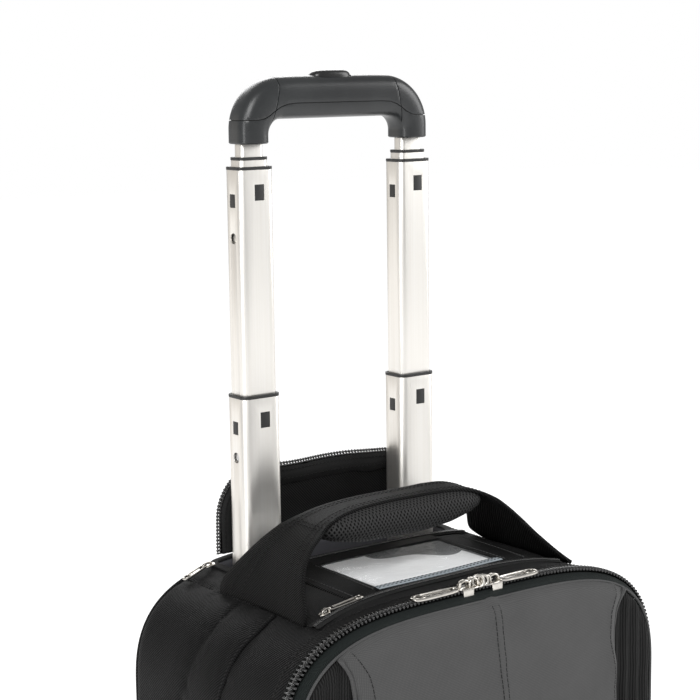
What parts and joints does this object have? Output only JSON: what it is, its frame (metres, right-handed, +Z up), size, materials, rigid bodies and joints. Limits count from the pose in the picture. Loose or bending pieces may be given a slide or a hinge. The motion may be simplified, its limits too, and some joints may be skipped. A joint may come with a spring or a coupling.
{
  "type": "rolling laptop case",
  "caption": "Soft-sided rolling laptop case with telescopic pull handle, padded carry handle, zipped front lid and window pocket on top.",
  "frame": {"origin": "on the floor, under the middle of the bounding box", "axes": "+Z up along the pull handle, +Y towards the back where the poles and wheels are, +X to the right seen from the front"},
  "size_m": [0.344, 0.234, 0.777],
  "materials": {
    "black_twill": "fine twill weave, matt",
    "front_nylon": "smooth close weave, slight sheen",
    "ribbed_nylon": "ribbed, ruched",
    "grey_lining": "smooth lining",
    "webbing": "ribbed webbing",
    "air_mesh": "open spacer mesh",
    "main_zip": "ribbed tape with coil teeth",
    "black_zip": "fine coil",
    "clear_vinyl": "clear, slightly crumpled",
    "trim_twill": "bold twill",
    "nickel": "bright nickel plate",
    "anodised_tube": "champagne anodised, fine brushed",
    "raw_aluminium": "mill finish",
    "collar_plastic": "fine texture",
    "inner_plastic": "plain",
    "housing_plastic": "moulded grain",
    "grip_plastic": "fine spark texture",
    "button_plastic": "smooth",
    "steel": "zinc plated",
    "foot_rubber": "matt",
    "tyre": "worn tread",
    "hub_plastic": "plain"
  },
  "bodies": {
    "case": {"side_and_top_panel": "black_twill", "back_panel": "black_twill", "bottom_panel": "black_twill", "base_tray": "housing_plastic", "back_board": "inner_plastic", "well_liner": "grey_lining", "pole_channels": "raw_aluminium", "channel_block": "inner_plastic", "channel_bezel": "collar_plastic", "board_rivets": "steel", "wheel_housing_left": "housing_plastic", "wheel_housing_right": "housing_plastic", "axle_bolts": "steel", "front_feet": "foot_rubber", "back_rails": "housing_plastic", "laptop_sleeve": "grey_lining", "sleeve_strap": "webbing", "window": "clear_vinyl", "window_trim": "trim_twill", "window_zip": "black_zip", "well_zip": "black_zip", "case_zip": "main_zip", "carry_strap": "webbing", "carry_pad": "air_mesh", "small_sliders": "nickel", "main_sliders": "nickel"},
    "front_lid": {"lid_panel": "front_nylon", "lid_zip": "main_zip", "pocket_panel": "front_nylon", "pocket_bellows": "ribbed_nylon"},
    "flap": {"flap_panel": "black_twill", "flap_zip": "black_zip"},
    "stage_a": {"tubes_a": "anodised_tube", "collars_a": "collar_plastic", "glides_a": "inner_plastic"},
    "stage_b": {"tubes_b": "anodised_tube", "collars_b": "collar_plastic", "glides_b": "inner_plastic"},
    "stage_c": {"tubes_c": "anodised_tube", "collars_c": "collar_plastic"},
    "stage_d": {"tubes_d": "anodised_tube", "grip_lower_shell": "grip_plastic", "grip_upper_shell": "grip_plastic", "button_spring": "steel"},
    "button": {"push_button": "button_plastic", "release_rods": "steel"},
    "pin_a_left": {"lock_pin_a_left": "steel"},
    "pin_a_right": {"lock_pin_a_right": "steel"},
    "pin_b_left": {"lock_pin_b_left": "steel"},
    "pin_b_right": {"lock_pin_b_right": "steel"},
    "wheel_left": {"tyre_left": "tyre", "hub_left": "hub_plastic", "bearings_left": "steel"},
    "wheel_right": {"tyre_right": "tyre", "hub_right": "hub_plastic", "bearings_right": "steel"},
    "pull_left": {"main_pull_left": "nickel"},
    "pull_right": {"main_pull_right": "nickel"},
    "pull_window": {"window_pull": "nickel"},
    "pull_well": {"well_pull": "nickel"}
  },
  "joints": [
    {"name": "pole_a_slide", "type": "slide", "parent": "case", "child": "stage_a", "axis": [0, 0, 1], "range_m": [-0.203, 0]},
    {"name": "pole_b_slide", "type": "slide", "parent": "stage_a", "child": "stage_b", "axis": [0, 0, 1], "range_m": [-0.158, 0]},
    {"name": "pole_c_slide", "type": "slide", "parent": "stage_b", "child": "stage_c", "axis": [0, 0, 1], "range_m": [0, 0.142]},
    {"name": "pole_d_slide", "type": "slide", "parent": "stage_c", "child": "stage_d", "axis": [0, 0, 1], "range_m": [0, 0.131]},
    {"name": "grip_button", "type": "slide", "parent": "stage_d", "child": "button", "axis": [0, 0, 1], "range_m": [-0.004, 0], "stiffness_N_per_m": 900, "springref_m": 0.004, "deforming": ["button_spring"]},
    {"name": "lock_pin_a_left", "type": "slide", "parent": "stage_a", "child": "pin_a_left", "axis": [1, 0, 0], "range_m": [0, 0.0015]},
    {"name": "lock_pin_a_right", "type": "slide", "parent": "stage_a", "child": "pin_a_right", "axis": [-1, 0, 0], "range_m": [0, 0.0015]},
    {"name": "lock_pin_b_left", "type": "slide", "parent": "stage_b", "child": "pin_b_left", "axis": [1, 0, 0], "range_m": [0, 0.0015]},
    {"name": "lock_pin_b_right", "type": "slide", "parent": "stage_b", "child": "pin_b_right", "axis": [-1, 0, 0], "range_m": [0, 0.0015]},
    {"name": "flap_hinge", "type": "hinge", "parent": "case", "child": "flap", "pos_m": [0, 0.1062, 0.4095], "axis": [1, 0, 0], "range_deg": [-95, 0]},
    {"name": "lid_hinge", "type": "hinge", "parent": "case", "child": "front_lid", "pos_m": [0, -0.117, 0.046], "axis": [1, 0, 0], "range_deg": [0, 90]},
    {"name": "pull_left_hinge", "type": "hinge", "parent": "case", "child": "pull_left", "pos_m": [-0.0215, -0.0863, 0.4111], "axis": [0, 1, 0], "range_deg": [0, 110]},
    {"name": "pull_right_hinge", "type": "hinge", "parent": "case", "child": "pull_right", "pos_m": [0.0235, -0.0863, 0.4111], "axis": [0, 1, 0], "range_deg": [-110, 0]},
    {"name": "pull_window_hinge", "type": "hinge", "parent": "case", "child": "pull_window", "pos_m": [-0.10513, -0.053, 0.40591], "axis": [0, 1, 0], "range_deg": [-100, 0]},
    {"name": "pull_well_hinge", "type": "hinge", "parent": "case", "child": "pull_well", "pos_m": [-0.11515, 0.1, 0.40349], "axis": [0, 1, 0], "range_deg": [0, 110]},
    {"name": "wheel_left_spin", "type": "hinge", "parent": "case", "child": "wheel_left", "pos_m": [-0.141, 0.084, 0.033], "axis": [1, 0, 0], "continuous": true},
    {"name": "wheel_right_spin", "type": "hinge", "parent": "case", "child": "wheel_right", "pos_m": [0.141, 0.084, 0.033], "axis": [1, 0, 0], "continuous": true}
  ],
  "couplings": [
    {"joint": "lock_pin_a_left", "follows": "grip_button", "ratio": -0.375},
    {"joint": "lock_pin_a_right", "follows": "grip_button", "ratio": -0.375},
    {"joint": "lock_pin_b_left", "follows": "grip_button", "ratio": -0.375},
    {"joint": "lock_pin_b_right", "follows": "grip_button", "ratio": -0.375}
  ]
}
